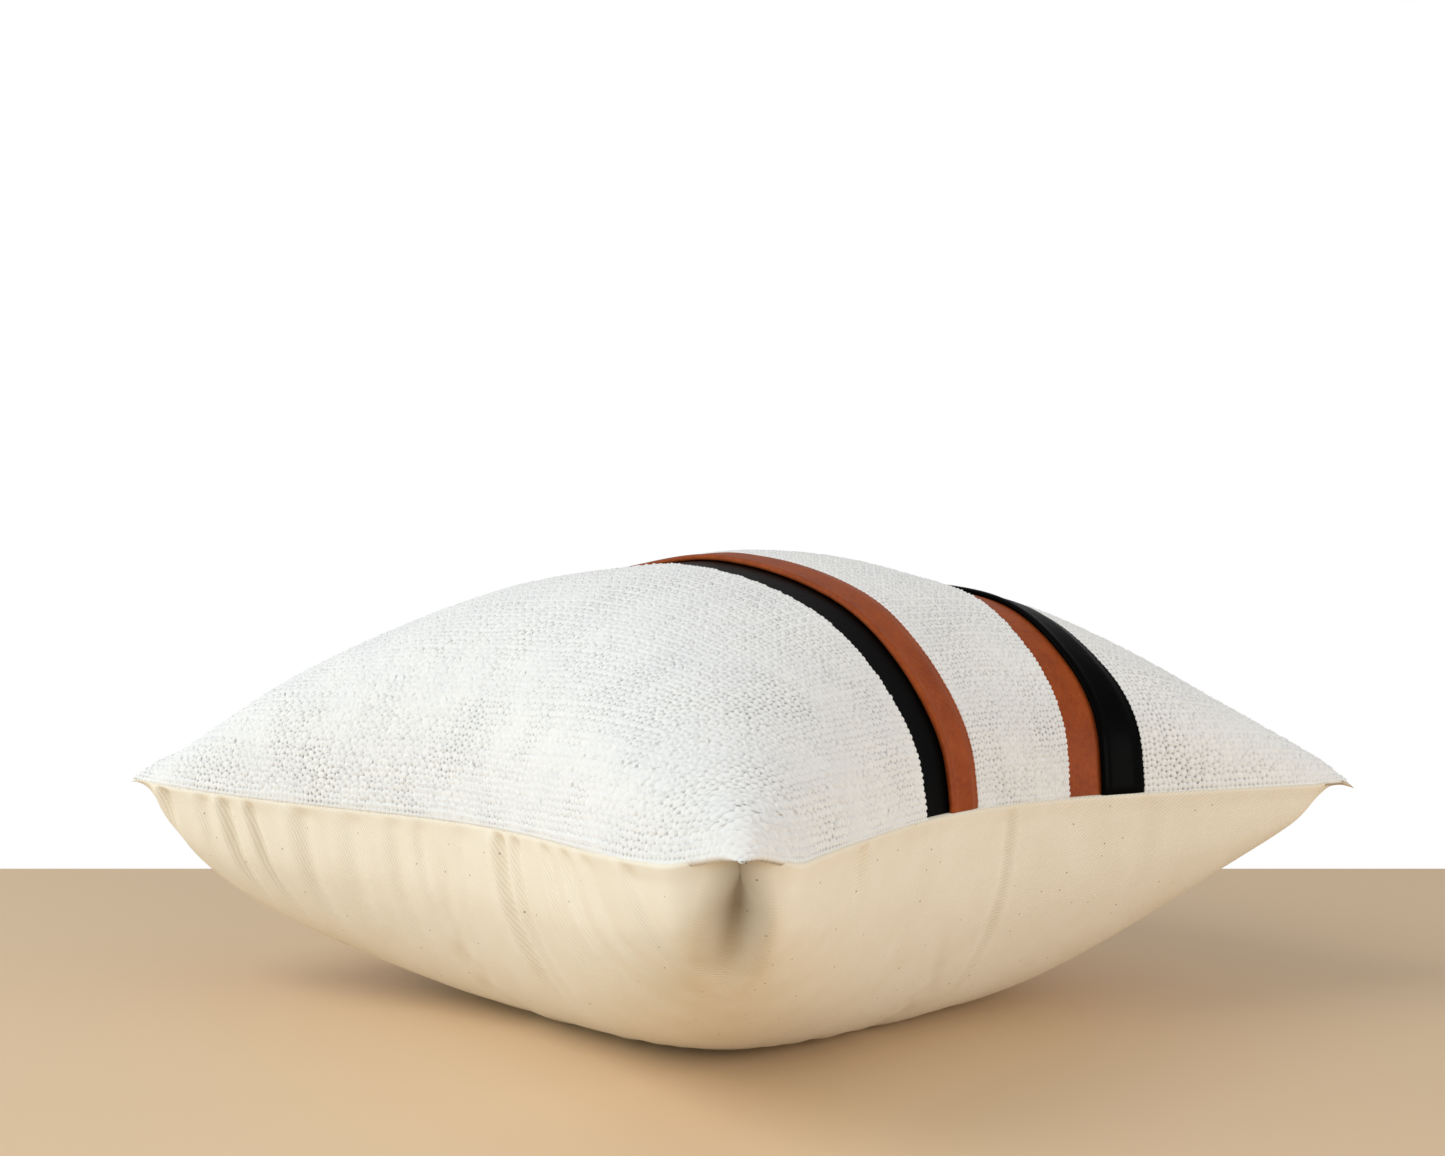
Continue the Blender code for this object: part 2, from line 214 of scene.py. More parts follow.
def stuffed_shape(u, v, side):
    """Points of the solid model's pillow surface, side +1 for the front and -1 for the back: the outline is a square
    with its sides pulled in, and the height above or below the seam is a power of how far inside all four it is."""
    across, along = turned(u, v), turned(v, u)
    x = across * (CORNER_REACH - side_pull(v, u > 0))
    y = along * (CORNER_REACH - side_pull(u, False))
    bulge = np.clip((1 - across ** 2) * (1 - along ** 2), 0, 1) ** FULLNESS
    z = SEAM_HEIGHT + side * (CROWN_HEIGHT if side > 0 else BELLY_DEPTH) * bulge
    return np.stack([x, y, np.maximum(z, 0.0)], -1)


def quads(ids):
    """Four-sided faces over a grid of vertex numbers."""
    return np.stack([ids[:-1, :-1], ids[1:, :-1], ids[1:, 1:], ids[:-1, 1:]], -1).reshape(-1, 4)


def settle_cover():
    """Sews a front and a back square at their edges, blows them up over the floor and returns both as point grids."""
    shares = np.linspace(-1, 1, CLOTH_CELLS + 1)
    u, v = np.meshgrid(shares, shares, indexing="ij")
    inner = np.zeros(u.shape, bool)
    inner[1:-1, 1:-1] = True
    front_ids = np.arange(u.size).reshape(u.shape)
    back_ids = front_ids.copy()
    back_ids[inner] = u.size + np.arange(inner.sum())

    stuffed = np.concatenate([stuffed_shape(u, v, 1).reshape(-1, 3), stuffed_shape(u, v, -1)[inner]])
    stuffed[:, 2] = np.maximum(stuffed[:, 2], START_CLEARANCE)
    flat = np.stack([u * HALF_SIDE, v * HALF_SIDE, np.full(u.shape, SEAM_HEIGHT)], -1)
    flat = np.concatenate([flat.reshape(-1, 3), flat[inner]])

    faces = np.concatenate([quads(front_ids), quads(back_ids)[:, ::-1]])
    mesh = bpy.data.meshes.new("cover_toile")
    mesh.from_pydata(stuffed.tolist(), [], faces.tolist())
    cover = bpy.data.objects.new("cover_toile", mesh)
    bpy.context.scene.collection.objects.link(cover)
    cover.shape_key_add(name="stuffed")
    cut = cover.shape_key_add(name="cut_flat")
    cut.data.foreach_set("co", flat.astype(np.float32).ravel())
    zipped = cover.vertex_groups.new(name="zip_line")
    on_zip = front_ids[-1, np.abs(shares) < ZIP_STRAIGHT]
    zipped.add([int(k) for k in on_zip], 1.0, "REPLACE")

    bpy.ops.mesh.primitive_plane_add(size=2)
    ground = bpy.context.object
    ground.modifiers.new("floor", "COLLISION")
    ground.collision.thickness_outer = 0.001
    ground.collision.cloth_friction = 20

    cloth = cover.modifiers.new("cloth", "CLOTH")
    fabric = cloth.settings
    fabric.rest_shape_key = cut
    fabric.vertex_group_mass = "zip_line"
    fabric.quality = 6
    fabric.mass = 0.0003
    fabric.air_damping = 6
    fabric.tension_stiffness = fabric.compression_stiffness = 40
    fabric.shear_stiffness = 5
    fabric.bending_stiffness = 0.3
    fabric.tension_damping = fabric.compression_damping = fabric.shear_damping = 5
    fabric.bending_damping = 0.5
    fabric.use_pressure = True
    fabric.uniform_pressure_force = 15
    fabric.effector_weights.gravity = 0.3
    cloth.collision_settings.use_collision = True
    cloth.collision_settings.distance_min = 0.002
    cloth.point_cache.frame_end = SETTLE_FRAMES
    for frame_number in range(1, SETTLE_FRAMES + 1):
        bpy.context.scene.frame_set(frame_number)

    settled = cover.evaluated_get(bpy.context.evaluated_depsgraph_get()).to_mesh()
    points = np.empty(len(stuffed) * 3, np.float32)
    settled.vertices.foreach_get("co", points)
    points = points.reshape(-1, 3).astype(float)
    bpy.data.objects.remove(cover)
    bpy.data.objects.remove(ground)
    return as_it_sits(*fit_outline(points[front_ids], points[back_ids], u, v), u, v)


def fit_outline(front, back, u, v):
    """Keeps the cloth's folds but moves its broad shape to the solid model's, by a low-order polynomial warp that both
    sides share at the seam."""
    powers = [(i, j) for i in range(6) for j in range(6) if i + j < 7]
    shared = np.stack([u ** i * v ** j for i, j in powers], -1)
    opposite = ((1 - u ** 2) * (1 - v ** 2))[..., None] * shared
    rows = np.concatenate([np.concatenate([shared, opposite], -1).reshape(-1, 2 * len(powers)),
                           np.concatenate([shared, -opposite], -1).reshape(-1, 2 * len(powers))])
    wanted = np.concatenate([(stuffed_shape(u, v, 1) - front).reshape(-1, 3),
                             (stuffed_shape(u, v, -1) - back).reshape(-1, 3)])
    moved = (rows @ np.linalg.lstsq(rows, wanted, rcond=None)[0]).reshape(2, *front.shape)
    return front + moved[0], back + moved[1]


def near(u, v, at_u, at_v, reach):
    """1 at a place on the cover, falling away as a bell curve over the given share of the half side."""
    return np.exp(-((u - at_u) ** 2 + (v - at_v) ** 2) / reach ** 2)


def as_it_sits(front, back, u, v):
    """Adds what is particular to this pillow: a low left side, a squarer crown, a pinched ear, a bent front tip, and
    leather that bows a little along its length."""
    bubble = (1 - u ** 2) * (1 - v ** 2)
    along_left = np.exp(-((u + 1) / 0.45) ** 2) * (1 - v ** 2)
    sag = LEFT_SIDE_SAG / 1.2 * along_left * ((1 + v) + (1 - v) / 3)
    square_u, square_v, square_both = CROWN_SQUARING
    rise = {1: bubble * (square_u * u ** 2 + square_v * v ** 2 + square_both * u * v), -1: bubble * BELLY_TILT * v}
    rise[1] += LEFT_EAR_RISE * near(u, v, -1, 1, 0.055) * smooth_step((1 - np.maximum(np.abs(u), np.abs(v))) / 0.03)
    for start, behind in zip(STRIP_START, (-0.15, -0.58)):
        middle = (start + PAIR_WIDTH / 2) / HALF_SIDE - 1
        dip = np.exp(-((u - middle) / 0.16) ** 4) * smooth_step((v - behind) / 0.35) * (1 - v ** 4)
        rise[1] -= STRIPE_HOLLOW * dip
    aside = TIP_ASIDE * near(u, v, -1, -1, 0.22)
    made = []
    for side, grid in ((1, front), (-1, back)):
        grid = grid.copy()
        thinner = RIGHT_EAR_PINCH * near(u, v, 1, -1, 0.35)
        if side > 0:
            thinner = thinner + LEFT_EAR_THINNING * near(u, v, -1, 1, 0.24)
        else:
            thinner = thinner - LEFT_EAR_FULLNESS * near(u, v, -1, 1, 0.42) + LEFT_EAR_PINCH * near(u, v, -1, 1, 0.10)
        grid[..., 2] -= (grid[..., 2] - SEAM_HEIGHT) * thinner
        grid[..., 2] += TIP_LIFT * near(u, v, -1, -1, 0.11) - sag + rise[side]
        grid[..., 0] += aside
        grid[..., 1] -= aside
        made.append(grid)
    drift = STRIPE_DRIFT * (1 - v ** 8) - STRIPE_GATHER * np.exp(-(v + 1) / 0.35)
    moved = u + drift / HALF_SIDE * np.exp(-((u - 0.35) / 0.3) ** 2)
    cell, weights, _ = spline((moved + 1) / 2 * CLOTH_CELLS, CLOTH_CELLS + 1)
    rows, columns = with_ends(made[0]), np.arange(CLOTH_CELLS + 1)
    made[0] = sum(weights[k][..., None] * rows[cell + k, columns] for k in range(4))
    return made


# ---------------------------------------------------------------- laying pieces on the cover

def spline(positions, count):
    """Cubic B-spline over a row of count points with one more at each end: the first of the four points that shape each
    position, their weights and the weights' slopes."""
    cell = np.clip(np.floor(positions), 0, count - 2).astype(int)
    part = positions - cell
    weights = ((1 - part) ** 3 / 6, (3 * part ** 3 - 6 * part ** 2 + 4) / 6,
               (-3 * part ** 3 + 3 * part ** 2 + 3 * part + 1) / 6, part ** 3 / 6)
    slopes = (-(1 - part) ** 2 / 2, (3 * part ** 2 - 4 * part) / 2, (-3 * part ** 2 + 2 * part + 1) / 2, part ** 2 / 2)
    return cell, weights, slopes


def with_ends(grid):
    """The grid with one more row before the first and after the last, in line with its neighbours."""
    return np.concatenate([2 * grid[:1] - grid[1:2], grid, 2 * grid[-1:] - grid[-2:-1]])


def pucker_depth(into, beside, puckers):
    """Puckers that start at one side of the cover, into being the flat distance from that side and beside the place
    along it: each is a valley with a low ridge on one flank, fading at its end.  Close to the seam the cloth is
    stretched, so distances over the surface are longer there."""
    reached = INNER_STRETCH * into + STRETCH_LENGTH * (1 - np.exp(-into / STRETCH_REACH))
    total = 0
    for place, depth, width, reach, slant in puckers:
        off = (beside - place - slant * reached) / width
        window = smooth_step(reached / 0.005) * (1 - smooth_step(reached / reach - 0.35))
        total = total + depth * window * (np.exp(-off ** 2) - 0.45 * np.exp(-(off - 1.7) ** 2))
    return total


def corner_hollow(s, t, depth):
    """The hollow that runs from a corner along the diagonal: a valley between two low ridges, wide at the corner and
    narrower inside, fading at both ends."""
    out = (s + t) / math.sqrt(2)
    off = (s - t) / math.sqrt(2) / (0.021 - 0.011 * smooth_step(out / 0.035))
    window = smooth_step(out / 0.009) * (1 - smooth_step(out / HOLLOW_REACH - 0.35))
    ridges = np.exp(-(np.abs(off) - 2.0) ** 2)
    return depth * window * (np.exp(-off ** 2) - 0.12 * ridges)


def crease_depth(s, t, side):
    """How far the cloth is drawn in by its puckers and corner hollows."""
    far_s, far_t = COVER_SIDE - s, COVER_SIDE - t
    if side > 0:
        return pucker_depth(t, s, TOP_PUCKERS) + corner_hollow(s, far_t, TOP_EAR_HOLLOW)
    front, left, right, rear = CORNER_HOLLOWS
    total = pucker_depth(s, t, LEFT_PUCKERS) + pucker_depth(t, s, FRONT_EDGE_PUCKERS)
    total = total + pucker_depth(far_t, s, REAR_PUCKERS)
    total = total + corner_hollow(s, t, front) + corner_hollow(s, far_t, left)
    return total + corner_hollow(far_s, t, right) + corner_hollow(far_s, far_t, rear)


class Cover:
    """The settled cover, known by flat distances s across and t along in metres from its low corner."""

    def __init__(self, front, back):
        self.grids = {}
        self.lengths = {}
        self.fine = np.linspace(0, COVER_SIDE, 4 * CLOTH_CELLS + 1)
        for side, grid in ((1, front), (-1, back)):
            self.grids[side] = with_ends(with_ends(grid).swapaxes(0, 1)).swapaxes(0, 1)
            points = self.at(*np.meshgrid(self.fine, self.fine, indexing="ij"), side, creased=False)[0]
            steps_s = np.linalg.norm(np.diff(points, axis=0), axis=-1)
            steps_t = np.linalg.norm(np.diff(points, axis=1), axis=-1)
            self.lengths[side] = (np.pad(np.cumsum(steps_s, 0), ((1, 0), (0, 0))),
                                  np.pad(np.cumsum(steps_t, 1), ((0, 0), (1, 0))))

    def at(self, s, t, side, creased=True):
        """Points and outward normals at the given places."""
        row, row_weights, row_slopes = spline(s / COVER_SIDE * CLOTH_CELLS, CLOTH_CELLS + 1)
        column, column_weights, column_slopes = spline(t / COVER_SIDE * CLOTH_CELLS, CLOTH_CELLS + 1)
        points = np.zeros((*np.shape(s), 3))
        to_s, to_t = points.copy(), points.copy()
        for i in range(4):
            for j in range(4):
                control = self.grids[side][row + i, column + j]
                points += (row_weights[i] * column_weights[j])[..., None] * control
                to_s += (row_slopes[i] * column_weights[j])[..., None] * control
                to_t += (row_weights[i] * column_slopes[j])[..., None] * control
        normals = np.cross(to_s, to_t) * side
        normals /= np.linalg.norm(normals, axis=-1, keepdims=True) + 1e-12
        if creased:
            points -= normals * crease_depth(s, t, side)[..., None]
        return points, normals

    def even_lines(self, low, high, rows, columns, side):
        """Places of rows by columns of lines between two flat distances across, evenly spaced on the stuffed surface,
        where the cloth near the seams is stretched."""
        by_s, by_t = self.lengths[side]
        fine = self.fine
        shares = np.linspace(0, 1, rows)
        lines_s = []
        for reach in by_s.T:
            start, end = np.interp((low, high), fine, reach)
            lines_s.append(np.interp(start + shares * (end - start), reach, fine))
        lines_t = [np.interp(np.linspace(0, reach[-1], columns), reach, fine) for reach in by_t]
        lines_s, lines_t = np.array(lines_s).T, np.array(lines_t)

        s = np.broadcast_to((low + shares * (high - low))[:, None], (rows, columns))
        for _ in range(3):
            t = line_at(lines_t.T, s.T).T
            s = line_at(lines_s, t)
        s[0], s[-1] = low, high
        t[:, 0], t[:, -1] = 0, COVER_SIDE
        return s, t


def line_at(lines, place):
    """Where each line runs at the given places, lines being known at even steps along the last axis."""
    last = lines.shape[1] - 1
    spot = np.clip(place / COVER_SIDE * last, 0, last - 1e-6)
    cell = spot.astype(int)
    part = spot - cell
    line = np.arange(lines.shape[0])[:, None]
    return lines[line, cell] * (1 - part) + lines[line, cell + 1] * part


def zip_share(along):
    """1 where the zip is, 0 at the ends of its side."""
    return smooth_step((ZIP_STRAIGHT + 0.07 - np.abs(along / HALF_SIDE - 1)) / 0.06)


def zip_gap(points, s, t, side):
    """Moves the cloth edges beside the zip apart, so that its tapes and coils show between them."""
    points[..., 2] += side * ZIP_MOUTH * smooth_step((s / HALF_SIDE - 1.8) / 0.2) * zip_share(t)
    return points


def add_mesh(name, points, faces, flat, material, values=None):
    """A smooth-shaded mesh with its own UV map in metres of flat cloth and any per-vertex values."""
    mesh = bpy.data.meshes.new(name)
    mesh.vertices.add(len(points))
    mesh.vertices.foreach_set("co", points.astype(np.float32).ravel())
    mesh.loops.add(faces.size)
    mesh.loops.foreach_set("vertex_index", faces.astype(np.int32).ravel())
    mesh.polygons.add(len(faces))
    mesh.polygons.foreach_set("loop_start", np.arange(0, faces.size, faces.shape[1], dtype=np.int32))
    mesh.update(calc_edges=True)
    mesh.validate()
    uv = mesh.uv_layers.new(name="flat_cloth")
    uv.data.foreach_set("uv", flat[faces.ravel()].astype(np.float32).ravel())
    for key, value in (values or {}).items():
        mesh.attributes.new(key, "FLOAT", "POINT").data.foreach_set("value", value.astype(np.float32).ravel())
    mesh.shade_smooth()
    mesh.materials.append(material)
    made = bpy.data.objects.new(name, mesh)
    bpy.context.scene.collection.objects.link(made)
    return made


def grid_faces(rows, columns, outward=True, closed=False):
    """Quads over a grid of rows by columns, wrapping round in the first direction if closed."""
    ids = np.arange(rows * columns).reshape(rows, columns)
    if closed:
        ids = np.concatenate([ids, ids[:1]])
    faces = quads(ids)
    return faces if outward else faces[:, ::-1]


def hashed(i, j, seed):
    """A repeatable value from 0 to 1 for each pair of whole numbers."""
    value = np.sin(i * 12.9898 + j * 78.233 + seed * 37.719) * 43758.5453
    return value - np.floor(value)


def weave_relief(rows, columns):
    """Height from 0 to 1 of a plain weave of thick yarns, three samples to a yarn each way: every yarn is round, and
    its middle line rises over one neighbour and dips under the next, so that each crossing is a nub with a pit at its
    four corners."""
    warp, weft, across, along = yarn_places(rows, columns)
    rise_warp, rise_weft = np.abs(np.sin(np.pi * across)), np.abs(np.sin(np.pi * along))
    over = np.cos(np.pi * (warp + weft))
    round_warp, round_weft = np.sqrt(rise_warp), np.sqrt(rise_weft)
    height = 0.5 + np.maximum(0.5 * over * rise_weft + 0.5 * (round_warp - 1),
                              -0.5 * over * rise_warp + 0.5 * (round_weft - 1))
    nub = 0.50 * (hashed(warp, weft, 3) - 0.5) * rise_warp * rise_weft
    height = height + 0.5 * (scatter(rows, columns, 9) + 0.2) * (1 - rise_warp) * (1 - rise_weft)
    return np.clip(height + nub, -0.1, 1.15)


def yarn_places(rows, columns):
    """For each point of a woven grid, the numbers of its warp and weft yarns and how far it is across each, 0 to 1."""
    across, along = np.meshgrid(np.arange(rows) / YARN_SAMPLES, np.arange(columns) / YARN_SAMPLES, indexing="ij")
    warp, weft = np.floor(across + 1e-6), np.floor(along + 1e-6)
    return warp, weft, across - warp, along - weft


def scatter(rows, columns, seed):
    """A value from -0.5 to 0.5 at every crossing of yarn edges, blended straight between crossings."""
    warp, weft, across, along = yarn_places(rows, columns)
    low = hashed(warp, weft, seed) * (1 - across) + hashed(warp + 1, weft, seed) * across
    high = hashed(warp, weft + 1, seed) * (1 - across) + hashed(warp + 1, weft + 1, seed) * across
    return low * (1 - along) + high * along - 0.5


def yarn_drift(s, t):
    """Slides the yarn lines sideways on the cloth: unevenly at each crossing, by whole yarns of unlike width, and in
    slow waves, but not at the edges."""
    rows, columns = s.shape
    row, column = np.arange(rows)[:, None], np.arange(columns)[None, :]
    from_side, from_end = np.minimum(row, rows - 1 - row), np.minimum(column, columns - 1 - column)
    yarns_in = np.minimum(from_side, from_end) / YARN_SAMPLES
    hold = smooth_step(yarns_in / 3)
    shift_s = 0.48 * scatter(rows, columns, 5) + 0.26 * scatter(rows, 1, 7)
    shift_s = shift_s + 0.20 * np.cos(np.pi * column / YARN_SAMPLES)
    shift_t = 0.48 * scatter(rows, columns, 6) + 0.26 * scatter(1, columns, 8)
    shift_t = shift_t + 0.20 * np.cos(np.pi * row / YARN_SAMPLES)
    shift_s = shift_s + 0.20 * np.sin(t * 63 + 2.3 * np.sin(s * 31 + t * 17))
    shift_t = shift_t + 0.20 * np.sin(s * 57 + 2.1 * np.sin(t * 27 - s * 19))
    yarn_s, yarn_t = YARN_SAMPLES * np.gradient(s, axis=0), YARN_SAMPLES * np.gradient(t, axis=1)
    return s + hold * shift_s * yarn_s, t + hold * shift_t * yarn_t


def woven_panel(name, low, high, cover, material, seam_low, seam_high):
    """A woven front panel between two flat distances.  Its edges are rounded and turned under: into the perimeter seam
    where seam_low or seam_high is true, else down onto the leather beside it."""
    rows = YARN_SAMPLES * round((high - low) / YARN_PITCH) + 1
    columns = YARN_SAMPLES * round(COVER_SIDE / YARN_PITCH) + 1
    step = YARN_PITCH / YARN_SAMPLES
    s, t = cover.even_lines(low, high, rows, columns, 1)
    s, t = yarn_drift(s, t)
    points, normals = cover.at(s, t, 1)
    points = zip_gap(points, s, t, 1)
    relief = weave_relief(rows, columns)
    from_low, from_end = np.arange(rows) * step, np.arange(columns) * step
    from_high = from_low[::-1]
    round_low, round_high = (EDGE_ROUND if seamed else LAP_ROUND for seamed in (seam_low, seam_high))
    sides = round_edge(np.minimum(from_low / round_low, from_high / round_high))
    ends = round_edge(np.minimum(from_end, from_end[::-1]) / EDGE_ROUND)
    fold = np.minimum(sides[:, None], ends[None, :]) * smooth_step(np.hypot(s, t) / 0.012)
    laid = points + normals * (fold * (WEAVE_BODY + YARN_RELIEF * relief))[..., None]
    wander = (relief - 0.45) * NUB_WANDER
    for seamed, from_edge, row, inner in ((seam_low, from_low, 0, 3), (seam_high, from_high, -1, -4)):
        if not seamed:
            outward = -inward(points[row], points[inner])
            laid += outward * (np.exp(-from_edge / 0.0015)[:, None] * wander)[..., None]
    full = np.concatenate([tuck(points, normals, 0, seam_low), laid, tuck(points, normals, -1, seam_high)])
    first = full[:, :1] + inward(full[:, 0], full[:, 4])[:, None] * TURN_IN
    last = full[:, -1:] + inward(full[:, -1], full[:, -5])[:, None] * TURN_IN
    full = np.concatenate([first, full, last], 1)
    places = np.meshgrid(low + step * np.arange(-1, rows + 1), step * np.arange(-1, columns + 1), indexing="ij")
    # how deep each point lies in the weave, which the ivory finish uses for painted shade in the pits
    deep = np.pad(1 - np.clip(relief, 0, 1), 1, constant_values=0.6)
    flat = np.stack(places, -1).reshape(-1, 2)
    return add_mesh(name, full.reshape(-1, 3), grid_faces(*full.shape[:2]), flat, material, {"pit_shade": deep})


def round_edge(share):
    """Quarter-round from 0 at the edge to 1 inside."""
    return np.sqrt(1 - (1 - np.clip(share, 0, 1)) ** 2)


def inward(edge, inner):
    """Unit directions from an edge towards the cloth just inside it."""
    way = inner - edge
    return way / (np.linalg.norm(way, axis=-1, keepdims=True) + 1e-9)


def tuck(points, normals, row, into_seam):
    """The row of points that an edge turns under to."""
    edge, inner = points[row], points[row + 3 if row == 0 else row - 3]
    way = inward(edge, inner)
    down = 0.0010 if into_seam else 0.0016
    return (edge + way * (TURN_IN if into_seam else 0.001) - normals[row] * down)[None]


def ribbon(name, profile, cover, material):
    """A leather piece: the closed cross-section given as (flat distance, lift) pairs is carried along the stripe,
    lifted off the cover along its normals and pressed flat at both ends."""
    low, high = profile[:, 0].min(), profile[:, 0].max()
    columns = int(COVER_SIDE / LEATHER_STEP) + 1
    lines = cover.even_lines(low, high, 2, columns, 1)[1]
    share = ((profile[:, 0] - low) / (high - low))[:, None]
    t = lines[0] * (1 - share) + lines[1] * share
    s = np.broadcast_to(profile[:, :1], t.shape)
    points, normals = cover.at(s, t, 1)
    from_end = np.arange(columns) * LEATHER_STEP
    press = round_edge(np.minimum(from_end, from_end[::-1]) / END_PRESS)
    laid = points + normals * ((profile[:, 1:2] - LEATHER_SINK) * press)[..., None]
    run = np.concatenate([[0], np.cumsum(np.hypot(*np.diff(profile, axis=0).T))])
    flat = np.stack(np.meshgrid(run, from_end, indexing="ij"), -1).reshape(-1, 2)
    return add_mesh(name, laid.reshape(-1, 3), grid_faces(*laid.shape[:2], outward=False, closed=True), flat, material)


def strip_profile(low, high):
    """A flat leather strip with softened edges."""
    under = 0.0001
    top = np.linspace(low + 0.0004, high - 0.0004, 12)
    bottom = np.linspace(high - 0.002, low + 0.002, 6)
    across = np.concatenate([[low, low], top, [high, high], bottom])
    low_edge, high_edge = [under, LEATHER * 0.6], [LEATHER * 0.6, under]
    lift = np.concatenate([low_edge, np.full(top.shape, LEATHER), high_edge, np.full(bottom.shape, under)])
    return np.stack([across, lift], -1)


def flange_profile(fold, seam):
    """A strip of leather folded in two, its round fold free and both raw edges caught in the seam: along the underside,
    round the fold, back along the top, then the same way inside, one leather thickness in."""
    rest = LEATHER + 0.0002
    caught = seam + FLANGE_CAUGHT

    def top(s):
        """Lift of the top face."""
        rise = smooth_step(np.clip((seam - s) / 0.006, 0, 1))
        roll = np.exp(-((s - fold - 0.0026) / 0.0011) ** 2)
        return rest + FOLD_RADIUS + FLANGE_STANDS * rise + FOLD_ROLL * roll

    def bend(radius, angles):
        """Points round the fold, from its underside to its top."""
        return fold + FOLD_RADIUS - radius * np.sin(angles), rest + FOLD_RADIUS - radius * np.cos(angles)

    under = np.concatenate([[caught], np.linspace(seam - 0.002, fold + 0.003, 8)])
    over = np.linspace(fold + 0.0022, caught, 14)
    over_inside = np.linspace(caught, fold + 0.003, 10)
    under_inside = np.linspace(fold + 0.003, caught, 8)
    inside_lift = rest + np.minimum(LEATHER, top(under_inside) - rest - LEATHER - 0.0001)
    runs = ((under, np.full(under.shape, rest)), bend(FOLD_RADIUS, np.linspace(0.15, 2.9, 9)), (over, top(over)),
            (over_inside, top(over_inside) - LEATHER), bend(FOLD_RADIUS - LEATHER, np.array((2.6, 1.57, 0.5))),
            (under_inside, inside_lift))
    return np.concatenate([np.stack(run, -1) for run in runs])


def canvas_back(cover, material):
    """The one-piece canvas back: the cover's underside, one canvas thickness out.  Along the front side, and round the
    front corner, its edge rolls a little way over the seam; everywhere it is turned into the seam."""
    count = int(COVER_SIDE / CANVAS_STEP) + 1
    s, t = cover.even_lines(0, COVER_SIDE, count, count, -1)
    points, normals = cover.at(s, t, -1)
    points = zip_gap(points, s, t, -1)
    place = np.arange(count) * CANVAS_STEP
    inside = np.minimum(place, place[::-1])
    open_zip = smooth_step((place - place[-1] + 0.008) / 0.008)[:, None] * zip_share(t)
    by_left = 0.35 + 0.65 * (1 - smooth_step((place[None, :] - 0.050) / 0.060))
    held_s = np.where(place[:, None] < HALF_SIDE, by_left, 0.3) * (1 - open_zip)
    held_t = np.where(place[None, :] < HALF_SIDE, 1.0, 0.3) * (1 - open_zip)
    near_s = (1 - smooth_step(inside / 0.006))[:, None] * held_s
    near_t = (1 - smooth_step(inside / 0.006))[None, :] * held_t
    off_tip = 1 - np.exp(-(place[:, None] ** 2 + place[None, :] ** 2) / 0.010 ** 2)
    near_s, near_t = near_s * off_tip, near_t * off_tip
    laid = points + normals * (CANVAS + LIP_STANDS * np.maximum(near_s, near_t))[..., None]
    for axis, close in ((0, near_s), (1, near_t)):
        away = np.gradient(points, axis=axis)
        away /= np.linalg.norm(away, axis=-1, keepdims=True) + 1e-12
        outward = np.sign(np.arange(count) - count / 2)
        outward = outward[:, None] if axis == 0 else outward[None, :]
        laid += away * (CANVAS_LIP * close * outward)[..., None]
    laid[..., 2] = np.maximum(laid[..., 2], 0.0)
    hem = 0.0006
    ring_s, ring_t = (np.clip(np.pad(line, 1, mode="edge"), hem, COVER_SIDE - hem) for line in (s, t))
    full = cover.at(ring_s, ring_t, 1)[0]
    full[1:-1, 1:-1] = laid
    beside_zip = zip_share(t[-1])[:, None]
    full[-1, 1:-1] += beside_zip * (tuck(points, normals, -1, True)[0] - full[-1, 1:-1])
    places = CANVAS_STEP * np.arange(-1, count + 1)
    flat = np.stack(np.meshgrid(places, places, indexing="ij"), -1).reshape(-1, 2)
    faces = grid_faces(*full.shape[:2], outward=False)
    return add_mesh("canvas_back_panel", full.reshape(-1, 3), faces, flat, material)


def shrunk(points, scale):
    """Points drawn towards the middle of the pillow."""
    centre = np.array([0, 0, SEAM_HEIGHT])
    return centre + (points - centre) * scale


def insert_pieces(cover, ticking, fibre):
    """The insert's two-part cotton case and the fibre inside it, smaller copies of the settled cover."""
    count = round(COVER_SIDE / INSERT_STEP) + 1
    places = np.linspace(0, COVER_SIDE, count)
    made = []
    s, t = np.meshgrid(places, places, indexing="ij")
    grids = {side: cover.at(s, t, side)[0] for side in (1, -1)}
    flat = np.stack([s, t], -1).reshape(-1, 2)
    for name, side in (("insert_case_top", 1), ("insert_case_bottom", -1)):
        points = shrunk(grids[side], INSERT_CASE_SCALE).reshape(-1, 3)
        made.append(add_mesh(name, points, grid_faces(count, count, side > 0), flat, ticking))
    inner = np.zeros((count, count), bool)
    inner[1:-1, 1:-1] = True
    top_ids = np.arange(count * count).reshape(count, count)
    low_ids = top_ids.copy()
    low_ids[inner] = count * count + np.arange(inner.sum())
    points = np.concatenate([grids[1].reshape(-1, 3), grids[-1][inner]])
    points += 0.0008 * np.sin(points * 190 + np.roll(points, 1, 1) * 140)
    faces = np.concatenate([quads(top_ids), quads(low_ids)[:, ::-1]])
    flat = np.concatenate([flat, flat.reshape(count, count, 2)[inner]])
    made.append(add_mesh("insert_fibre_fill", shrunk(points, FIBRE_SCALE), faces, flat, fibre))
    return made


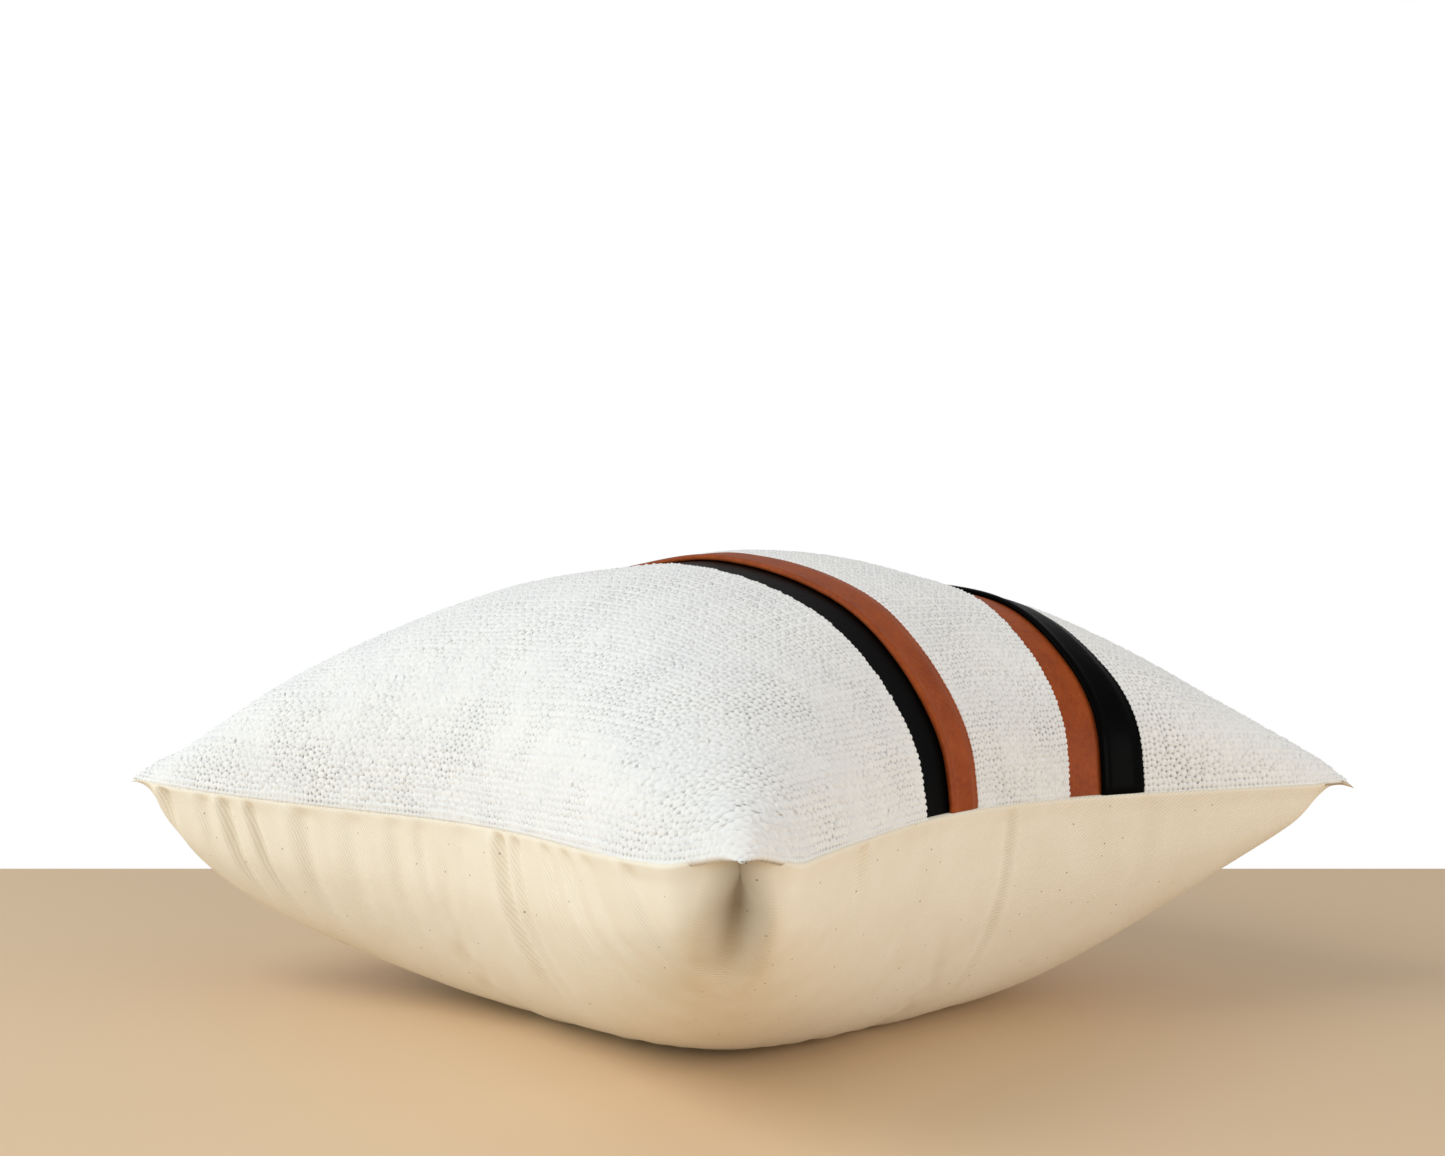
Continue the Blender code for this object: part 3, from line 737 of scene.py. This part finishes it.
def coil(name, up, rod, material):
    """One half of the zip's nylon coil: a round wire carried along a flattened spring, whose turns reach past the seam
    between those of the other half."""
    low, high = (np.array(corner) for corner in rod)
    pitch, wire, half_thick, half_wide = 0.0013, 0.00027, 0.00045, 0.0011
    sides, steps = 6, 14
    turns = int((high[1] - low[1]) / pitch) - 1
    winding = np.linspace(0, turns * 2 * np.pi, turns * steps + 1)
    centre_x, centre_z = (low[0] + high[0]) / 2, SEAM_HEIGHT + up * 0.00125
    y = (low[1] + high[1]) / 2 + pitch * (winding / 2 / np.pi - turns / 2) + (0.25 * pitch * up)
    line = np.stack([centre_x + half_thick * np.cos(winding), y, centre_z + half_wide * np.sin(winding)], -1)
    way = np.gradient(line, axis=0)
    way /= np.linalg.norm(way, axis=1, keepdims=True)
    spoke = np.cross(way, [0, 1, 0])
    spoke /= np.linalg.norm(spoke, axis=1, keepdims=True)
    other = np.cross(way, spoke)
    round_wire = np.arange(sides) * 2 * np.pi / sides
    ring = line[None] + wire * (np.cos(round_wire)[:, None, None] * spoke + np.sin(round_wire)[:, None, None] * other)
    flat = np.stack(np.meshgrid(round_wire * wire, winding * 0.0005, indexing="ij"), -1).reshape(-1, 2)
    faces = grid_faces(sides, len(winding), outward=False, closed=True)
    return add_mesh(name, ring.reshape(-1, 3), faces, flat, material)


# ---------------------------------------------------------------- materials

class Value:
    """A shader socket that can be added, multiplied and compared like a number."""

    def __init__(self, tree, socket):
        self.tree, self.socket = tree, socket

    def math(self, operation, *others):
        made = self.tree.nodes.new("ShaderNodeMath")
        made.operation = operation
        for place, item in zip(made.inputs, (self, *others)):
            if isinstance(item, Value):
                self.tree.links.new(item.socket, place)
            else:
                place.default_value = item
        return Value(self.tree, made.outputs[0])

    def __add__(self, other):
        return self.math("ADD", other)

    def __mul__(self, other):
        return self.math("MULTIPLY", other)

    def __sub__(self, other):
        return self.math("SUBTRACT", other)

    def __rsub__(self, other):
        return (self * -1) + other

    __radd__ = __add__
    __rmul__ = __mul__

    def sine(self):
        return self.math("SINE")

    def above(self, low, high):
        """0 below low, 1 above high, straight between."""
        return ((self - low) * (1 / (high - low))).math("MAXIMUM", 0.0).math("MINIMUM", 1.0)


class Finish:
    """A Principled material and the nodes that feed it."""

    def __init__(self, name, **fixed):
        self.material = bpy.data.materials.new(name)
        self.material.use_nodes = True
        self.tree = self.material.node_tree
        self.shader = self.tree.nodes["Principled BSDF"]
        for key, value in fixed.items():
            self.shader.inputs[key.replace("_", " ")].default_value = value

    def node(self, kind, output=0, settings=None, **sockets):
        """Any node: its settings are set, its named sockets filled, and one output returned."""
        made = self.tree.nodes.new(kind)
        for key, value in (settings or {}).items():
            setattr(made, key, value)
        for key, value in sockets.items():
            place = made.inputs[key.replace("_", " ")]
            if isinstance(value, Value):
                self.tree.links.new(value.socket, place)
            else:
                place.default_value = value
        return Value(self.tree, made.outputs[output])

    def cloth(self):
        """Place on the flat cloth, in metres."""
        return self.node("ShaderNodeUVMap", settings={"uv_map": "flat_cloth"})

    def split(self, vector):
        made = self.tree.nodes.new("ShaderNodeSeparateXYZ")
        self.tree.links.new(vector.socket, made.inputs[0])
        return Value(self.tree, made.outputs[0]), Value(self.tree, made.outputs[1])

    def noise(self, place, scale, detail=2.0, roughness=0.5):
        return self.node("ShaderNodeTexNoise", Vector=place, Scale=scale, Detail=detail, Roughness=roughness)

    def mix(self, share, low, high):
        """A colour from low to high."""
        made = self.tree.nodes.new("ShaderNodeMix")
        made.data_type = "RGBA"
        for place, item in zip((made.inputs[0], made.inputs[6], made.inputs[7]), (share, low, high)):
            if isinstance(item, Value):
                self.tree.links.new(item.socket, place)
            else:
                place.default_value = (*item, 1) if isinstance(item, tuple) else item
        return Value(self.tree, made.outputs[2])

    def feed(self, socket, value):
        self.tree.links.new(value.socket, self.shader.inputs[socket])

    def bump(self, height, distance, strength=1.0):
        self.feed("Normal", self.node("ShaderNodeBump", Height=height, Distance=distance, Strength=strength))


def woven_finish():
    """Matt ivory yarn with painted shade where the yarns dip between each other, darker in patches, with fine fibres.
    """
    made = Finish("woven_ivory_yarn", Roughness=0.93)
    place = made.cloth()
    # painted shade in the pits of the weave, stronger in patches
    pit_shade = made.node("ShaderNodeAttribute", output=2, settings={"attribute_name": "pit_shade"})
    tone = made.noise(place, 38.0, 3.0)
    lit = made.mix(tone.above(0.35, 0.7), *YARN)
    patchy_pit_shade = made.noise(place, 24.0, 2.0).above(0.42, 0.64) * 0.80 + 0.14
    made.feed("Base Color", made.mix(pit_shade.above(0.40, 0.95) * patchy_pit_shade, lit, YARN_PIT_SHADE))
    made.bump(made.noise(place, 2200.0, 3.0, 0.6), 0.0004, 0.6)
    return made.material


def canvas_finish():
    """Unbleached cotton twill: fine slanting ribs, a faint mottle, small dark seed flecks, and painted shade along the
    fold below the front corner."""
    made = Finish("cream_cotton_twill", Roughness=0.9)
    place = made.cloth()
    across, along = made.split(place)
    wobble = made.noise(place, 160.0, 2.0)
    rib = ((across * 0.50 + along * 0.87) * (2 * math.pi / 0.0014) + wobble * 3.0).sine()
    mottle = made.noise(place, 45.0, 3.0)
    pale, deep = TWILL
    base = made.mix(mottle.above(0.3, 0.7), deep, pale)
    off_corner = (across + along).above(0.03, 0.09)
    ribbed = made.mix((rib * 0.5 + 0.5) * off_corner * 0.46, base, TWILL_RIB)
    # painted shade along the fold below the front corner
    off_fold = (across - along).math("ABSOLUTE").above(0.002, 0.020)
    past_fold = (across + along).above(0.055, 0.115)
    fold_shade = (1 - off_fold) * (1 - past_fold) * (across + along).above(0.001, 0.005)
    shaded = made.mix(fold_shade * 0.82, ribbed, TWILL_FOLD_SHADE)
    spots = {"voronoi_dimensions": "2D", "feature": "F1"}
    from_spot = made.node("ShaderNodeTexVoronoi", settings=spots, Vector=place, Scale=95.0)
    pick = made.node("ShaderNodeTexVoronoi", output=1, settings=spots, Vector=place, Scale=95.0)
    chosen, strength = made.split(pick)
    fleck = (1 - from_spot.above(0.02, 0.045)) * chosen.above(0.78, 0.80) * (strength * 0.7 + 0.3)
    made.feed("Base Color", made.mix(fleck, shaded, SEED_FLECK))
    threads = made.noise(place, 1800.0, 2.0)
    made.bump(rib * off_corner * 0.5 + threads * 0.6, 0.00016, 0.7)
    return made.material


def leather_finish(name, hide, roughness, mottling, gloss):
    """Smooth leather with a soft mottle, fine pores and a slight sheen."""
    made = Finish(name, Specular_IOR_Level=gloss)
    place = made.cloth()
    pale, deep = hide
    cloud = made.noise(place, 55.0, 5.0, 0.65) * 0.6 + made.noise(place, 420.0, 3.0, 0.6) * 0.4
    made.feed("Base Color", made.mix(cloud.above(0.5 - mottling, 0.5 + mottling), deep, pale))
    made.feed("Roughness", cloud * 0.25 + (roughness - 0.12))
    pores = made.node("ShaderNodeTexVoronoi", settings={"feature": "SMOOTH_F1"}, Vector=place, Scale=1300.0)
    made.bump(pores * 0.7 + made.noise(place, 260.0, 3.0) * 1.4, 0.00012, 0.55)
    return made.material


def plain_finish(name, colour, roughness, grain=900.0, metallic=0.0, depth=0.00008):
    """One colour with a fine grain in tone and height, placed by the object itself."""
    made = Finish(name, Metallic=metallic)
    place = made.node("ShaderNodeTexCoord", output=3)
    speckle = made.noise(place, grain, 3.0)
    darker = tuple(0.86 * channel for channel in colour)
    made.feed("Base Color", made.mix(speckle, darker, colour))
    made.feed("Roughness", speckle * 0.12 + (roughness - 0.06))
    made.bump(speckle, depth, 0.5)
    return made.material


# ---------------------------------------------------------------- assembly

def stand_in(piece, node):
    """Rides a piece on the cushion in place of a solid node, which is hidden."""
    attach(piece, "cushion")
    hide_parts(node)


def dress_front(cover):
    """The three woven panels, and between them two pairs of a flat leather strip with a folded flange over it."""
    ivory = woven_finish()
    black = (leather_finish("black_leather_hide", BLACK_HIDE, 0.30, 0.25, 0.016), "black_leather")
    tan = (leather_finish("tan_leather_hide", TAN_HIDE, 0.46, 0.22, 0.10), "tan_leather")
    first, second = STRIP_START
    panels = (("woven_left", "woven_panel_left", 0.0, first, True, False),
              ("woven_centre", "woven_panel_centre", first + PAIR_WIDTH, second, False, False),
              ("woven_right", "woven_panel_right", second + PAIR_WIDTH, COVER_SIDE, False, True))
    for name, node, low, high, seam_low, seam_high in panels:
        piece = woven_panel(name, low, high, cover, ivory, seam_low, seam_high)
        stand_in(piece, node)
        high - low
    pairs = (("black_flat_strip", "black_strip", black, "tan_folded_flange", "tan_flange", tan, first),
             ("tan_flat_strip", "tan_strip", tan, "black_folded_flange", "black_flange", black, second))
    for strip, strip_node, strip_leather, flange, flange_node, flange_leather, start in pairs:
        low, fold, seam = start - UNDERLAP, start + STRIP_SHOWING, start + PAIR_WIDTH
        high = seam + UNDERLAP
        hide, slot = strip_leather
        piece = ribbon(strip, strip_profile(low, high), cover, hide)
        stand_in(piece, strip_node)
        high - low
        hide, slot = flange_leather
        piece = ribbon(flange, flange_profile(fold, seam), cover, hide)
        stand_in(piece, flange_node)


def dress_pillow():
    """Lays every piece, ties it to its CAD body and gives each CAD node that stays its finish."""
    cover = Cover(*settle_cover())
    dress_front(cover)
    back = canvas_back(cover, canvas_finish())
    stand_in(back, "canvas_back")

    ticking = plain_finish("insert_cotton", (0.85, 0.84, 0.81), 0.9)
    fibre = plain_finish("polyester_fibre_fill", (0.9, 0.9, 0.9), 1.0, 300.0, depth=0.001)
    top, bottom, fill = insert_pieces(cover, ticking, fibre)
    stand_in(top, "insert_top")
    stand_in(bottom, "insert_bottom")
    stand_in(fill, "insert_filling")

    nylon = plain_finish("zip_nylon_coil", (0.74, 0.66, 0.52), 0.42)
    tape = plain_finish("zip_woven_tape", (0.70, 0.61, 0.46), 0.9, 1500.0)
    metal = plain_finish("zip_nickel", (0.62, 0.60, 0.57), 0.30, 600.0, metallic=1.0, depth=0.00002)
    for half, up in (("front", 1), ("back", -1)):
        rod = "zip_coil_" + half
        stand_in(coil("nylon_coil_" + half, up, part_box(rod), nylon), rod)
    for node, item in frame["nodes"].items():
        if node.startswith("zip_coil") or not node.startswith("zip_"):
            continue
        item.data.materials.clear()
        item.data.materials.append(tape if node.startswith("zip_tape") else metal)


def aim_camera():
    """Camera at table height in front of one corner.  Returns its level direction, as a vector and as an angle."""
    turn = math.radians(45) + VIEW_YAW
    ahead = np.array([math.cos(turn), math.sin(turn), 0])
    aside = np.array([math.sin(turn), -math.cos(turn), 0])
    camera = bpy.data.objects.new("camera", bpy.data.cameras.new("camera"))
    camera.location = -ahead * VIEW_DISTANCE + aside * VIEW_SIDE_STEP + np.array([0, 0, VIEW_HEIGHT])
    camera.rotation_euler = (math.pi / 2 - VIEW_PITCH, 0, turn - math.pi / 2)
    camera.data.sensor_width = SENSOR_WIDTH
    camera.data.lens = SENSOR_WIDTH * VIEW_FOCAL
    camera.data.clip_start = 0.05
    bpy.context.scene.collection.objects.link(camera)
    bpy.context.scene.camera = camera
    return ahead, turn


def lay_table(ahead, turn):
    """A plain pale table top that ends a little way behind the pillow."""
    bpy.ops.mesh.primitive_plane_add(size=1)
    table = bpy.context.object
    table.name = "table_top"
    table.scale = (*TABLE_SIZE, 1)
    table.rotation_euler = (0, 0, turn - math.pi / 2)
    table.location = ahead * (TABLE_EDGE - TABLE_SIZE[1] / 2) + np.array([0, 0, -0.0003])
    surface = Finish("pale_table", Roughness=0.55)
    place = surface.node("ShaderNodeTexCoord", output=3)
    pale, deep = TABLE_WOOD
    surface.feed("Base Color", surface.mix(surface.noise(place, 3.0), deep, pale))
    table.data.materials.append(surface.material)


def light_room():
    """Even room light with a plain white backdrop, and three soft lamps aimed at the pillow."""
    scene = bpy.context.scene
    world = bpy.data.worlds.new("studio_white")
    scene.world = world
    world.use_nodes = True
    sky = world.node_tree
    room = sky.nodes["Background"]
    room.inputs["Color"].default_value = (0.98, 0.99, 1.0, 1)
    room.inputs["Strength"].default_value = ROOM_LIGHT
    paper = sky.nodes.new("ShaderNodeBackground")
    paper.inputs["Color"].default_value = (1, 1, 1, 1)
    seen = sky.nodes.new("ShaderNodeLightPath")
    either = sky.nodes.new("ShaderNodeMixShader")
    sky.links.new(seen.outputs["Is Camera Ray"], either.inputs[0])
    sky.links.new(room.outputs[0], either.inputs[1])
    sky.links.new(paper.outputs[0], either.inputs[2])
    sky.links.new(either.outputs[0], sky.nodes["World Output"].inputs[0])
    scene.view_settings.view_transform = "Standard"
    for name, place, size, power, colour in LAMPS:
        light = bpy.data.lights.new(name, "AREA")
        light.size, light.energy, light.color = size, power, colour
        lamp = bpy.data.objects.new(name, light)
        lamp.location = place
        aim = np.array(LAMP_AIM) - np.array(place)
        lamp.rotation_euler = (math.acos(-aim[2] / np.linalg.norm(aim)), 0, math.atan2(aim[1], aim[0]) - math.pi / 2)
        scene.collection.objects.link(lamp)


dress_pillow()
lay_table(*aim_camera())
light_room()
